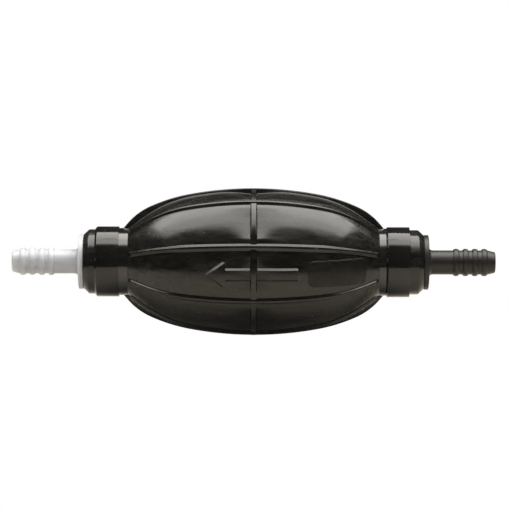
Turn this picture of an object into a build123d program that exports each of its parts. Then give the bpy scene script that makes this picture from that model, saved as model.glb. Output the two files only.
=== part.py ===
"""Siphon bulb pump: a ribbed rubber squeeze bulb between two hose barbs, each with a check valve.

Frame, in millimetres: X runs along the bulb from the outlet (-X) to the inlet (+X), Z is up,
and the bulb's arrow panel faces -Y. The origin is the middle of the bulb, on its axis.
Liquid always flows towards -X, the way the arrow points.
"""
from build123d import *
import math
import os

# ---------------------------------------------------------------- bulb
bulb_radius = 28.4                  # panel surface at the middle
bulb_half_length = 49.2             # where the panels run into the neck
neck_radius = 13.2
neck_length = 17.6
wall = 3.0                          # rubber thickness of the bulb
# Where the outline's arcs meet: share of the half length, share of the rise above the neck.
panel_shape = [(0.508, 0.836), (0.827, 0.408), (1.0, 0.0)]
rib_shape = [(0.487, 0.857), (0.793, 0.547), (0.963, 0.137)]
rib_count = 8
rib_height = 0.9                    # at the middle; the ribs grow into gussets at the neck
rib_reach = 2.1                     # gusset's foot along the neck
rib_width = 2.4
rib_rounding = 0.7
girth_rib_width = 2.4
girth_rib_height = 0.8
girth_rib_rounding = 0.7

# ---------------------------------------------------------------- marks on the arrow panel
arrow_length = 38.6
arrow_head_length = 8.9
arrow_head_height = 10.2
arrow_shaft_height = 5.1
arrow_tail = 18.0                   # towards the inlet from the middle
arrow_relief = 0.5
pad_length = 23.0
pad_height = 10.4
pad_gap = 2.9                       # arrow's tail to the pad
pad_rounding = 2.0
pad_relief = 0.3

# ---------------------------------------------------------------- squeeze walls
squeeze_end_margin = 13.2           # neck to the ellipse that a hand presses in
squeeze_side_margin = 8.4
squeeze_gap = 0.3                   # all round, so that a wall slides clear of the shell

# ---------------------------------------------------------------- clamp rings on the necks
clamp_width = 9.35
clamp_thickness = 1.15
clamp_rounding = 0.25
clamp_seat_depth = 0.55             # the rubber under the ring is this much smaller
clamp_gap = {"outlet": 3.6, "inlet": 2.6}           # bulb to ring
neck_wall = 3.15                    # rubber between the ring and the plug
neck_chamfer_length = 2.2
neck_chamfer_depth = 2.05

# ---------------------------------------------------------------- fittings
shank_radius = 4.75
barb_length = 26.3                  # beyond the flange
barb_wall = 1.55                    # shank to the flow bore
barb_ridge_count = 4
barb_ridge_height = 0.65
barb_ridge_width = 1.9
barb_ridge_land = 0.4
barb_ridge_pitch = 3.7
barb_first_ridge = 4.3              # tip to the middle of the first ridge
tip_taper_length = 3.0
tip_taper_depth = 0.75
tip_rounding = 0.6
flange_radius = 10.75
flange_thickness = 1.9
flange_rounding = 0.35
flange_root_rounding = 1.3
plug_wall = 2.5                     # plug to the valve chamber
plug_floor = 2.8                    # flange's inner face to the chamber's bottom
plug_ridge_count = 3
plug_ridge_height = 0.4             # bites into the rubber under the clamp
plug_ridge_length = 2.4
plug_ridge_pitch = 4.0
plug_first_ridge = 3.0              # flange to the first ridge
seat_ledge = 1.4                    # step that the valve stack rests on
funnel_length = 2.4
valve_recess = 0.6                  # stack to the plug's mouth

# ---------------------------------------------------------------- check valves
seat_thickness = 3.0
seat_width = 3.5                    # chamber's wall to the seat's bore
seat_lip_width = 0.9
seat_lip_height = 0.6
o_ring_section = 1.2
o_ring_groove_width = 1.8
poppet_thickness = 1.4
poppet_side_gap = 1.5               # poppet to the chamber's wall, where the liquid passes
stem_radius = 1.5
stem_overlap = 1.6                  # stem inside the cage's hub when the valve is shut
stem_clearance = 0.1                # radial, in the hub
washer_thickness = 1.0
washer_inset = 0.3                  # poppet's edge to the washer's
button_overhang = 0.7               # head that holds the washer, beyond the stem
button_thickness = 0.5
spring_wire = 0.5
spring_clearance = 0.75             # stem to the wire
spring_length = 6.0
spring_coils = 5
cage_length = 2.5
cage_rim = 1.5
cage_hub_lip = 0.45                 # hub beyond the spring
cage_spoke_width = 1.8
cage_spoke_count = 3

# ---------------------------------------------------------------- worked out from the above
neck_end = bulb_half_length + neck_length
clamp_inner_radius = neck_radius - clamp_seat_depth
plug_radius = clamp_inner_radius - neck_wall
chamber_radius = plug_radius - plug_wall
funnel_radius = chamber_radius - seat_ledge
flow_bore_radius = shank_radius - barb_wall
flange_face = neck_end + flange_thickness
barb_tip = flange_face + barb_length
seat_bore_radius = chamber_radius - seat_width
poppet_radius = chamber_radius - poppet_side_gap
washer_radius = poppet_radius - washer_inset
button_radius = stem_radius + button_overhang
spring_radius = stem_radius + spring_clearance + spring_wire / 2
cage_hub_radius = spring_radius + spring_wire / 2 + cage_hub_lip
crest_radius = bulb_radius + rib_height

# Faces of a valve, by their distance downstream of the seat's upstream face.
lip_crest = seat_thickness + seat_lip_height
disc_front = lip_crest + washer_thickness
disc_back = disc_front + poppet_thickness
hub_face = disc_back + spring_length
cage_back = hub_face + cage_length

chamber_bottom = neck_end - plug_floor
plug_mouth = chamber_bottom - cage_back - valve_recess
side_of = {"outlet": -1, "inlet": 1}
valve_start = {"outlet": -(plug_mouth + valve_recess), "inlet": chamber_bottom}
beyond = 10.0                       # how far a cutting shape reaches past the material

os.makedirs("parts", exist_ok=True)


def outline(middle_radius, half_length, shape, shift=0.0):
    """Points where a bulb outline's arcs meet, from the middle to one end, moved out by shift."""
    joints = [(0.0, middle_radius + shift)]
    slope = 0.0
    last_x = 0.0
    last_radius = middle_radius
    for share_along, share_up in shape:
        x = share_along * half_length
        radius = neck_radius + share_up * (middle_radius - neck_radius)
        slope = 2 * math.atan2(last_radius - radius, x - last_x) - slope
        joints.append((x + shift * math.sin(slope), radius + shift * math.cos(slope)))
        last_x = x
        last_radius = radius
    return joints


def turned_body(joints, end_radius, end_x):
    """Solid turned from an outline of arcs, sloping on into a straight end of end_radius."""
    with BuildPart() as body:
        with BuildSketch(Plane.XZ):
            with BuildLine():
                arc = TangentArc(joints[0], joints[1], tangent=(1, 0))
                for joint in joints[2:]:
                    arc = TangentArc(arc @ 1, joint, tangent=arc % 1)
                heading = arc % 1
                run = ((arc @ 1).Y - end_radius) * heading.X / abs(heading.Y)
                foot = ((arc @ 1).X + run, end_radius)
                if run > 0.01:
                    Line(arc @ 1, foot)
                else:
                    foot = arc @ 1
                Polyline(foot, (end_x, end_radius), (end_x, 0), (0, 0), joints[0])
            make_face()
            mirror(about=Plane.YZ)
        revolve(axis=Axis.X)
    return body.part


def is_crest(edge):
    """True for a rib's long outer edge, which lies well outside the neck."""
    middle = edge @ 0.5
    return math.hypot(middle.Y, middle.Z) > neck_radius + rib_width


# ================================================================ the rubber bulb
panels = outline(bulb_radius, bulb_half_length, panel_shape)
lining = outline(bulb_radius, bulb_half_length, panel_shape, -wall)
crests = outline(crest_radius, bulb_half_length + rib_reach, rib_shape)
arrow_top = outline(bulb_radius, bulb_half_length, panel_shape, arrow_relief)
pad_top = outline(bulb_radius, bulb_half_length, panel_shape, pad_relief)
outer_body = turned_body(panels, neck_radius, neck_end)
cavity = turned_body(lining, plug_radius, neck_end + beyond)
crest_body = turned_body(crests, neck_radius, neck_end)
arrow_body = turned_body(arrow_top, neck_radius, neck_end)
pad_body = turned_body(pad_top, neck_radius, neck_end)

with BuildPart() as ribs:
    for number in range(rib_count):
        rib_angle = (number + 0.5) * 360 / rib_count
        with BuildSketch(Plane.XY.rotated((rib_angle, 0, 0))):
            with Locations((0, crest_radius / 2)):
                Rectangle(2 * neck_end, crest_radius)
        extrude(amount=rib_width / 2, both=True)
    add(crest_body, mode=Mode.INTERSECT)
    fillet(ribs.edges().filter_by(is_crest), rib_rounding)

with BuildPart() as girth_rib:
    with BuildSketch(Plane.XZ) as girth_profile:
        with Locations((0, bulb_radius)):
            Rectangle(girth_rib_width, 2 * girth_rib_height)
        fillet(girth_profile.vertices().group_by(Axis.Y)[-1], girth_rib_rounding)
    revolve(axis=Axis.X)

with BuildPart() as arrow_mark:
    arrow_tip = arrow_tail - arrow_length
    with BuildSketch(Plane.XZ):
        with BuildLine():
            Polyline(
                (arrow_tip, 0),
                (arrow_tip + arrow_head_length, arrow_head_height / 2),
                (arrow_tip + arrow_head_length, arrow_shaft_height / 2),
                (arrow_tail, arrow_shaft_height / 2),
                (arrow_tail, -arrow_shaft_height / 2),
                (arrow_tip + arrow_head_length, -arrow_shaft_height / 2),
                (arrow_tip + arrow_head_length, -arrow_head_height / 2),
                close=True,
            )
        make_face()
    extrude(amount=bulb_radius + beyond)
    add(arrow_body, mode=Mode.INTERSECT)

with BuildPart() as blank_pad:
    with BuildSketch(Plane.XZ):
        with Locations((arrow_tail + pad_gap + pad_length / 2, 0)):
            RectangleRounded(pad_length, pad_height, pad_rounding)
    extrude(amount=bulb_radius + beyond)
    add(pad_body, mode=Mode.INTERSECT)

with BuildPart() as rubber:
    add(outer_body)
    add(ribs.part)
    add(girth_rib.part)
    add(arrow_mark.part)
    add(blank_pad.part)
    add(cavity, mode=Mode.SUBTRACT)
    for end, side in side_of.items():
        seat_start = bulb_half_length + clamp_gap[end]
        end_radius = clamp_inner_radius - neck_chamfer_depth
        with BuildSketch(Plane.XZ):
            with BuildLine():
                Polyline(
                    (side * seat_start, clamp_inner_radius),
                    (side * (neck_end - neck_chamfer_length), clamp_inner_radius),
                    (side * neck_end, end_radius),
                    (side * (neck_end + beyond), end_radius),
                    (side * (neck_end + beyond), neck_radius + beyond),
                    (side * seat_start, neck_radius + beyond),
                    close=True,
                )
            make_face()
        revolve(axis=Axis.X, mode=Mode.SUBTRACT)

squeeze_half_length = bulb_half_length - squeeze_end_margin
squeeze_half_height = bulb_radius - squeeze_side_margin

with BuildPart() as bulb_shell:
    add(rubber.part)
    with BuildSketch(Plane.XZ):
        Ellipse(squeeze_half_length + squeeze_gap, squeeze_half_height + squeeze_gap)
    extrude(amount=bulb_radius + beyond, both=True, mode=Mode.SUBTRACT)
bulb_shell.part.label = "bulb_shell"
export_step(bulb_shell.part, "parts/bulb_shell.step")

with BuildPart() as squeeze_wall_front:
    add(rubber.part)
    with BuildSketch(Plane.XZ):
        Ellipse(squeeze_half_length, squeeze_half_height)
    extrude(amount=bulb_radius + beyond, mode=Mode.INTERSECT)
squeeze_wall_front.part.label = "squeeze_wall_front"
export_step(squeeze_wall_front.part, "parts/squeeze_wall_front.step")

with BuildPart() as squeeze_wall_rear:
    add(rubber.part)
    with BuildSketch(Plane.XZ):
        Ellipse(squeeze_half_length, squeeze_half_height)
    extrude(amount=-(bulb_radius + beyond), mode=Mode.INTERSECT)
squeeze_wall_rear.part.label = "squeeze_wall_rear"
export_step(squeeze_wall_rear.part, "parts/squeeze_wall_rear.step")

# ================================================================ clamp rings
for end, side in side_of.items():
    with BuildPart() as clamp_ring:
        with BuildSketch(Plane.XZ) as clamp_profile:
            middle = side * (bulb_half_length + clamp_gap[end] + clamp_width / 2)
            with Locations((middle, clamp_inner_radius + clamp_thickness / 2)):
                Rectangle(clamp_width, clamp_thickness)
            fillet(clamp_profile.vertices().group_by(Axis.Y)[-1], clamp_rounding)
        revolve(axis=Axis.X)
    clamp_ring.part.label = f"{end}_clamp_ring"
    export_step(clamp_ring.part, f"parts/{end}_clamp_ring.step")

# ================================================================ fittings
for end, side in side_of.items():
    with BuildPart() as fitting:
        with BuildSketch(Plane.XZ) as fitting_profile:
            with BuildLine():
                Polyline(
                    (side * plug_mouth, 0),
                    (side * plug_mouth, plug_radius),
                    (side * neck_end, plug_radius),
                    (side * neck_end, flange_radius),
                    (side * flange_face, flange_radius),
                    (side * flange_face, shank_radius),
                    (side * (barb_tip - tip_taper_length), shank_radius),
                    (side * barb_tip, shank_radius - tip_taper_depth),
                    (side * barb_tip, 0),
                    close=True,
                )
            make_face()
            rows = fitting_profile.vertices().group_by(Axis.Y)
            flange_root = rows[-3].sort_by_distance((side * flange_face, shank_radius))[0]
            fillet(flange_root, flange_root_rounding)
            fillet(fitting_profile.vertices().group_by(Axis.Y)[-1], flange_rounding)
            tip_corner = fitting_profile.vertices().sort_by_distance(
                (side * barb_tip, shank_radius - tip_taper_depth))[0]
            fillet(tip_corner, tip_rounding)
        revolve(axis=Axis.X)
        for number in range(barb_ridge_count):
            middle = barb_tip - barb_first_ridge - number * barb_ridge_pitch
            crest = shank_radius + barb_ridge_height
            with BuildSketch(Plane.XZ):
                with BuildLine():
                    land = Line(
                        (side * (middle - barb_ridge_land / 2), crest),
                        (side * (middle + barb_ridge_land / 2), crest),
                    )
                    outer_foot = (side * (middle + barb_ridge_width / 2), shank_radius)
                    inner_foot = (side * (middle - barb_ridge_width / 2), shank_radius)
                    TangentArc(land @ 1, outer_foot, tangent=land % 1)
                    TangentArc(land @ 0, inner_foot, tangent=-(land % 0))
                    Polyline(
                        inner_foot,
                        (inner_foot[0], flow_bore_radius),
                        (outer_foot[0], flow_bore_radius),
                        outer_foot,
                    )
                make_face()
            revolve(axis=Axis.X)
        for number in range(plug_ridge_count):
            root = neck_end - plug_first_ridge - number * plug_ridge_pitch
            with BuildSketch(Plane.XZ):
                with BuildLine():
                    Polyline(
                        (side * root, chamber_radius),
                        (side * root, plug_radius + plug_ridge_height),
                        (side * (root - plug_ridge_length), plug_radius),
                        (side * (root - plug_ridge_length), chamber_radius),
                        close=True,
                    )
                make_face()
            revolve(axis=Axis.X)
        with BuildSketch(Plane.XZ):
            with BuildLine():
                Polyline(
                    (side * (plug_mouth - beyond), 0),
                    (side * (plug_mouth - beyond), chamber_radius),
                    (side * chamber_bottom, chamber_radius),
                    (side * chamber_bottom, funnel_radius),
                    (side * (chamber_bottom + funnel_length), flow_bore_radius),
                    (side * (barb_tip + beyond), flow_bore_radius),
                    (side * (barb_tip + beyond), 0),
                    close=True,
                )
            make_face()
        revolve(axis=Axis.X, mode=Mode.SUBTRACT)
    fitting.part.label = f"{end}_fitting"
    export_step(fitting.part, f"parts/{end}_fitting.step")

# ================================================================ check valves
for end, start in valve_start.items():
    with BuildPart() as valve_seat:
        groove_middle = start - seat_thickness / 2
        groove_radius = chamber_radius - o_ring_section
        lip_radius = seat_bore_radius + seat_lip_width
        with BuildSketch(Plane.XZ):
            with BuildLine():
                Polyline(
                    (start, seat_bore_radius),
                    (start, chamber_radius),
                    (groove_middle + o_ring_groove_width / 2, chamber_radius),
                    (groove_middle + o_ring_groove_width / 2, groove_radius),
                    (groove_middle - o_ring_groove_width / 2, groove_radius),
                    (groove_middle - o_ring_groove_width / 2, chamber_radius),
                    (start - seat_thickness, chamber_radius),
                    (start - seat_thickness, lip_radius + seat_lip_height),
                    (start - lip_crest, lip_radius),
                    (start - lip_crest, seat_bore_radius),
                    close=True,
                )
            make_face()
        revolve(axis=Axis.X)
    valve_seat.part.label = f"{end}_valve_seat"
    export_step(valve_seat.part, f"parts/{end}_valve_seat.step")

    with BuildPart() as seat_o_ring:
        with BuildSketch(Plane.XZ):
            with Locations((start - seat_thickness / 2, chamber_radius - o_ring_section / 2)):
                Circle(o_ring_section / 2)
        revolve(axis=Axis.X)
    seat_o_ring.part.label = f"{end}_seat_o_ring"
    export_step(seat_o_ring.part, f"parts/{end}_seat_o_ring.step")

    with BuildPart() as poppet_washer:
        with BuildSketch(Plane.YZ.offset(start - disc_front)):
            Circle(washer_radius)
            Circle(stem_radius, mode=Mode.SUBTRACT)
        extrude(amount=washer_thickness)
    poppet_washer.part.label = f"{end}_poppet_washer"
    export_step(poppet_washer.part, f"parts/{end}_poppet_washer.step")

    with BuildPart() as poppet:
        stem_length = stem_overlap + hub_face - lip_crest
        with BuildSketch(Plane.YZ.offset(start - hub_face - stem_overlap)):
            Circle(stem_radius)
        extrude(amount=stem_length)
        with BuildSketch(Plane.YZ.offset(start - disc_back)):
            Circle(poppet_radius)
        extrude(amount=poppet_thickness)
        with BuildSketch(Plane.YZ.offset(start - lip_crest)):
            Circle(button_radius)
        extrude(amount=button_thickness)
    poppet.part.label = f"{end}_poppet"
    export_step(poppet.part, f"parts/{end}_poppet.step")

    with BuildPart() as valve_spring:
        coil_length = spring_length - spring_wire
        with BuildLine() as coil:
            Helix(
                pitch=coil_length / spring_coils,
                height=coil_length,
                radius=spring_radius,
                center=(start - hub_face + spring_wire / 2, 0, 0),
                direction=(1, 0, 0),
            )
        with BuildSketch(Plane(origin=coil.line @ 0, z_dir=coil.line % 0)):
            Circle(spring_wire / 2)
        sweep(is_frenet=True)
    valve_spring.part.label = f"{end}_valve_spring"
    export_step(valve_spring.part, f"parts/{end}_valve_spring.step")

    with BuildPart() as guide_cage:
        with BuildSketch(Plane.YZ.offset(start - cage_back)):
            Circle(chamber_radius)
            Circle(chamber_radius - cage_rim, mode=Mode.SUBTRACT)
            with PolarLocations(0, cage_spoke_count):
                Rectangle(
                    chamber_radius - cage_rim / 2,
                    cage_spoke_width,
                    align=(Align.MIN, Align.CENTER),
                )
            Circle(cage_hub_radius)
            Circle(stem_radius + stem_clearance, mode=Mode.SUBTRACT)
        extrude(amount=cage_length)
    guide_cage.part.label = f"{end}_guide_cage"
    export_step(guide_cage.part, f"parts/{end}_guide_cage.step")
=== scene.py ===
"""Looks of a siphon bulb pump: a ribbed rubber squeeze bulb between two hose barbs.

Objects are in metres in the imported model's frame: X runs along the bulb from the outlet (-X) to
the inlet (+X), Z is up, and the panel with the flow arrow faces -Y. Sizes held by the classes are
in millimetres, and their meshes are made in millimetres and scaled once, when they are finished.
"""

from collections.abc import Callable
from dataclasses import dataclass
from dataclasses import field
from enum import Enum
import logging
import math

import bmesh
import bpy
from mathutils import Euler
from mathutils import Matrix
from mathutils import Vector


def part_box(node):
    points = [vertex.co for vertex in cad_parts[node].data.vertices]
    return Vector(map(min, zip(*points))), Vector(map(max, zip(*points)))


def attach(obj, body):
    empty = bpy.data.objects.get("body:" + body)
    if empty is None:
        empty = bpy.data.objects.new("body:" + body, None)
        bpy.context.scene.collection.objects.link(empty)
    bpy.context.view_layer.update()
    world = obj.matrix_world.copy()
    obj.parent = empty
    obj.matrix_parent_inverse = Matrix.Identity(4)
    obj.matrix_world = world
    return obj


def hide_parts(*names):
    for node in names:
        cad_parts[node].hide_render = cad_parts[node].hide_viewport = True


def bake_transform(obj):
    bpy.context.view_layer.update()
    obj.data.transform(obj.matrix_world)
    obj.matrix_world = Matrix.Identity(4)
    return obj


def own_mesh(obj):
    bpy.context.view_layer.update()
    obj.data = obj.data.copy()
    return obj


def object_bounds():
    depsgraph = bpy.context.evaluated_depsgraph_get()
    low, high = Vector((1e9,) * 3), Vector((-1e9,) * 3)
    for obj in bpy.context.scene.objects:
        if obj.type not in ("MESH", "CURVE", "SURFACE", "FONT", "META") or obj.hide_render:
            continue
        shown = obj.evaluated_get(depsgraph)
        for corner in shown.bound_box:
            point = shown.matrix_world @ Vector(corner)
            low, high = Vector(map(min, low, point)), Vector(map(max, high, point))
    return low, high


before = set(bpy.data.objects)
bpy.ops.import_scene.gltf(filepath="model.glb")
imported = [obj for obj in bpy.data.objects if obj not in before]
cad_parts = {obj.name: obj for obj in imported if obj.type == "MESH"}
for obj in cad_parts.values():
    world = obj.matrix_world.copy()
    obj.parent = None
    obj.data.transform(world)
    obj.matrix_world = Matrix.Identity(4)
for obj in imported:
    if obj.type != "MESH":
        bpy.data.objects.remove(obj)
CAD_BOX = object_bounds()

MM = 0.001
MIX_LOWER = 6                           # a colour mix node's sockets: what lies below and above,
MIX_UPPER = 7
MIX_RESULT = 2                          # and what comes out
Points = list[tuple[float, float]]      # a profile: distance along X and radius
log = logging.getLogger("siphon_bulb_pump")


class End(Enum):
    """The pump's two ends, by the side of the bulb that each is on."""

    OUTLET = -1
    INLET = 1

    def node(self, part: str) -> str:
        """Name of the CAD node of this end's part."""
        return f"{self.name.lower()}_{part}"


class Facing(Enum):
    """The bulb's two halves, by the way that each faces along Y."""

    FRONT = -1
    REAR = 1


# ---------------------------------------------------------------- colours and nodes
def linear(hex_colour: str) -> tuple[float, float, float, float]:
    """Turns an sRGB hex colour into a linear one.

    Args:
        hex_colour: Six hex digits, such as "0d0d0c".

    Returns:
        Red, green, blue and an alpha of 1.
    """
    channels = []
    for start in (0, 2, 4):
        share = int(hex_colour[start:start + 2], 16) / 255
        channels.append(share / 12.92 if share <= 0.04045 else ((share + 0.055) / 1.055) ** 2.4)
    return (channels[0], channels[1], channels[2], 1.0)


def add_node(
    tree: bpy.types.NodeTree,
    kind: str,
    settings: dict | None = None,
    values: dict | None = None,
    links: dict | None = None,
) -> bpy.types.Node:
    """Adds one node to a material.

    Args:
        tree: The material's node tree.
        kind: The node's type, such as "ShaderNodeBump".
        settings: The node's own settings, by name.
        values: Values for its unlinked inputs, by input name.
        links: Sockets that feed its other inputs, by input name.

    Returns:
        The new node.
    """
    node = tree.nodes.new(kind)
    for name, value in (settings or {}).items():
        setattr(node, name, value)
    for name, value in (values or {}).items():
        node.inputs[name].default_value = value
    for name, socket in (links or {}).items():
        tree.links.new(socket, node.inputs[name])
    return node


def per_metre(size_mm: float) -> float:
    """Scale of a pattern whose repeat is size_mm long, on coordinates in metres."""
    return 1 / (size_mm * MM)


@dataclass(frozen=True)
class MouldedFinish:
    """Moulded rubber, plastic or enamel.

    The layers are smears of sheen drawn out along the bulb, a cloudy film, grain and slow waves left by the
    mould, dust, and convex edges lightened in colour: partly wear from handling, partly a painted
    highlight.
    """

    name: str
    colour: str
    roughness: float
    roughness_swing: float = 0.03
    smear_mm: float = 9.0
    smear_range: tuple[float, float] = (0.35, 0.65)     # each range is of the noise behind a layer
    stretch: float = 3.0                # smears and film are this much longer along the bulb
    film_colour: str = "3a3832"
    film_share: float = 0.0
    film_mm: float = 2.2
    film_range: tuple[float, float] = (0.42, 0.72)
    grain_mm: float = 1.1
    grain_depth_mm: float = 0.01
    wave_mm: float = 13.0
    wave_depth_mm: float = 0.0
    # Convex edges are lightened towards this colour: partly wear, partly a painted highlight along crests
    # and rims.
    edge_wear_and_highlight_colour: str = "45423b"
    edge_wear_and_highlight_share: float = 0.0
    edge_wear_and_highlight_range: tuple[float, float] = (0.52, 0.6)     # of the edges' pointiness
    dust_colour: str = "8a867c"
    dust_mm: float = 0.9
    dust_share: float = 0.0
    dust_range: tuple[float, float] = (0.68, 0.76)
    cloud_roughness: float = 0.6
    ior: float = 1.5
    scatter: float = 0.0
    scatter_mm: float = 2.0
    scatter_reach: tuple[float, float, float] = (1.0, 0.97, 0.92)   # of red, green and blue light

    def spread(
        self,
        tree: bpy.types.NodeTree,
        value: bpy.types.NodeSocket,
        source: tuple[float, float],
        target: tuple[float, float],
    ) -> bpy.types.NodeSocket:
        """Maps a value from one range onto another, held at both ends.

        Args:
            tree: The material's node tree.
            value: The value.
            source: The range that it is read over.
            target: The range that it gives.

        Returns:
            The mapped value.
        """
        mapped = add_node(
            tree, "ShaderNodeMapRange",
            values={"From Min": source[0], "From Max": source[1], "To Min": target[0], "To Max": target[1]},
            links={"Value": value},
        )
        return mapped.outputs["Result"]

    def clouds(
        self,
        tree: bpy.types.NodeTree,
        place: bpy.types.NodeSocket,
        size_mm: float,
        detail: float,
    ) -> bpy.types.NodeSocket:
        """Adds noise whose clouds are of a real size.

        Args:
            tree: The material's node tree.
            place: Where the noise is read.
            size_mm: About how far across a cloud is.
            detail: How many finer layers it has.

        Returns:
            The noise's value.
        """
        noise = add_node(
            tree, "ShaderNodeTexNoise",
            values={"Scale": per_metre(size_mm), "Detail": detail, "Roughness": self.cloud_roughness},
            links={"Vector": place},
        )
        return noise.outputs["Fac"]

    def relief(self, tree: bpy.types.NodeTree, place: bpy.types.NodeSocket) -> bpy.types.NodeSocket:
        """Normal of the surface with its grain and its slow waves.

        Args:
            tree: The material's node tree.
            place: Object coordinates.

        Returns:
            The normal.
        """
        grain = add_node(
            tree, "ShaderNodeMath", settings={"operation": "MULTIPLY"},
            values={1: self.grain_depth_mm}, links={0: self.clouds(tree, place, self.grain_mm, 2.0)},
        )
        both = add_node(
            tree, "ShaderNodeMath", settings={"operation": "MULTIPLY_ADD"},
            values={1: self.wave_depth_mm},
            links={0: self.clouds(tree, place, self.wave_mm, 1.0), 2: grain.outputs["Value"]},
        )
        bump = add_node(
            tree, "ShaderNodeBump", values={"Strength": 1.0, "Distance": MM},
            links={"Height": both.outputs["Value"]},
        )
        return bump.outputs["Normal"]

    def layers(
        self,
        tree: bpy.types.NodeTree,
        place: bpy.types.NodeSocket,
        drawn: bpy.types.NodeSocket,
    ) -> list[tuple[str, bpy.types.NodeSocket]]:
        """Lists what lies over the body colour.

        Args:
            tree: The material's node tree.
            place: Object coordinates.
            drawn: Object coordinates drawn out along the bulb.

        Returns:
            Each layer's colour and how much of it shows, from the lowest up.
        """
        found = []
        if self.film_share > 0:
            film = self.clouds(tree, drawn, self.film_mm, 5.0)
            shown = self.spread(tree, film, self.film_range, (0.0, self.film_share))
            found.append((self.film_colour, shown))
        # Pointiness lightens convex edges: wear, and also a painted highlight along rib crests and rims.
        if self.edge_wear_and_highlight_share > 0:
            edges = add_node(tree, "ShaderNodeNewGeometry").outputs["Pointiness"]
            shown = self.spread(tree, edges, self.edge_wear_and_highlight_range, (0.0, self.edge_wear_and_highlight_share))
            found.append((self.edge_wear_and_highlight_colour, shown))
        if self.dust_share > 0:
            specks = self.clouds(tree, place, self.dust_mm, 4.0)
            shown = self.spread(tree, specks, self.dust_range, (0.0, self.dust_share))
            found.append((self.dust_colour, shown))
        return found

    def material(self) -> bpy.types.Material:
        """Makes the material.

        Returns:
            The new material.
        """
        made = bpy.data.materials.new(self.name)
        made.use_nodes = True
        tree = made.node_tree
        shader = tree.nodes["Principled BSDF"]
        shader.inputs["IOR"].default_value = self.ior
        if self.scatter > 0:
            shader.inputs["Subsurface Weight"].default_value = self.scatter
            shader.inputs["Subsurface Scale"].default_value = self.scatter_mm * MM
            shader.inputs["Subsurface Radius"].default_value = self.scatter_reach
        place = add_node(tree, "ShaderNodeTexCoord").outputs["Object"]
        drawn = add_node(
            tree, "ShaderNodeMapping", values={"Scale": (1 / self.stretch, 1, 1)}, links={"Vector": place},
        ).outputs["Vector"]
        shine = (self.roughness - self.roughness_swing, self.roughness + self.roughness_swing)
        smears = self.clouds(tree, drawn, self.smear_mm, 3.0)
        tree.links.new(self.spread(tree, smears, self.smear_range, shine), shader.inputs["Roughness"])
        tree.links.new(self.relief(tree, place), shader.inputs["Normal"])
        colour = None
        for over, share in self.layers(tree, place, drawn):
            mixed = add_node(tree, "ShaderNodeMix", settings={"data_type": "RGBA"}, links={0: share})
            mixed.inputs[MIX_LOWER].default_value = linear(self.colour)
            mixed.inputs[MIX_UPPER].default_value = linear(over)
            if colour:
                tree.links.new(colour, mixed.inputs[MIX_LOWER])
            colour = mixed.outputs[MIX_RESULT]
        if colour:
            tree.links.new(colour, shader.inputs["Base Color"])
        else:
            shader.inputs["Base Color"].default_value = linear(self.colour)
        return made


@dataclass(frozen=True)
class DrawnWireFinish:
    """Drawn stainless wire: bright metal with fine lines that follow the drawing."""

    name: str
    colour: str
    roughness: float
    line_mm: float
    line_depth_mm: float

    def material(self) -> bpy.types.Material:
        """Makes the material.

        Returns:
            The new material.
        """
        made = bpy.data.materials.new(self.name)
        made.use_nodes = True
        tree = made.node_tree
        shader = tree.nodes["Principled BSDF"]
        shader.inputs["Base Color"].default_value = linear(self.colour)
        shader.inputs["Metallic"].default_value = 1.0
        shader.inputs["Roughness"].default_value = self.roughness
        place = add_node(tree, "ShaderNodeTexCoord").outputs["Object"]
        lines = add_node(
            tree, "ShaderNodeTexNoise",
            values={"Scale": per_metre(self.line_mm), "Detail": 3.0},
            links={"Vector": place},
        )
        bump = add_node(
            tree, "ShaderNodeBump",
            values={"Strength": 1.0, "Distance": self.line_depth_mm * MM},
            links={"Height": lines.outputs["Fac"]},
        )
        tree.links.new(bump.outputs["Normal"], shader.inputs["Normal"])
        return made


# Nitrile rubber out of a polished mould: nearly black with a wet-looking sheen, which a waxy bloom
# clouds in streaks. The orange peel is drawn coarser than it is, so that it shows.
# Its lightened edges are a painted highlight along the rib crests as well as wear.
BULB_RUBBER = MouldedFinish(
    "moulded_nitrile_rubber", "0a0a09", roughness=0.22, roughness_swing=0.08, film_share=0.2,
    smear_mm=3.2, stretch=4.5,
    grain_mm=1.0, grain_depth_mm=0.016, wave_depth_mm=0.06, edge_wear_and_highlight_share=0.15, dust_share=0.5,
    dust_mm=0.8,
)
# The blank pad's part of the mould is blasted, so its skin is duller.
# Its lightened edges are a painted highlight round the pad's outline as well as wear.
PAD_RUBBER = MouldedFinish(
    "blasted_mould_nitrile_rubber", "0a0a09", roughness=0.34, film_share=0.15,
    grain_mm=0.6, grain_depth_mm=0.02, wave_depth_mm=0.05, edge_wear_and_highlight_share=0.3, dust_share=0.3, ior=1.36,
)
# Beside the bulb the necks are wiped with rubber lacquer, which makes them shinier.
NECK_RUBBER = MouldedFinish(
    "lacquered_nitrile_rubber", "0b0b0a", roughness=0.15, film_share=0.1, ior=1.68,
    grain_mm=1.2, grain_depth_mm=0.008, dust_share=0.3, dust_mm=0.8,
)
# Nylon with its natural grey-white colour, which lets a little light in.
NATURAL_NYLON = MouldedFinish(
    "moulded_natural_nylon", "a1a3a8", roughness=0.42, film_colour="909296", film_share=0.5,
    grain_mm=1.4, grain_depth_mm=0.012, scatter=0.8, scatter_mm=5.0, ior=1.53,
    edge_wear_and_highlight_colour="b4b5b6", edge_wear_and_highlight_share=0.3, dust_colour="6e6c68", dust_share=0.25,
)
# Glass-filled black nylon: charcoal, with a satin skin.
BLACK_NYLON = MouldedFinish(
    "moulded_black_nylon", "0d0c0b", roughness=0.43, roughness_swing=0.04, film_share=0.15,
    grain_mm=0.8, grain_depth_mm=0.016, edge_wear_and_highlight_share=0.35, dust_share=0.4, ior=1.48,
)
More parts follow.
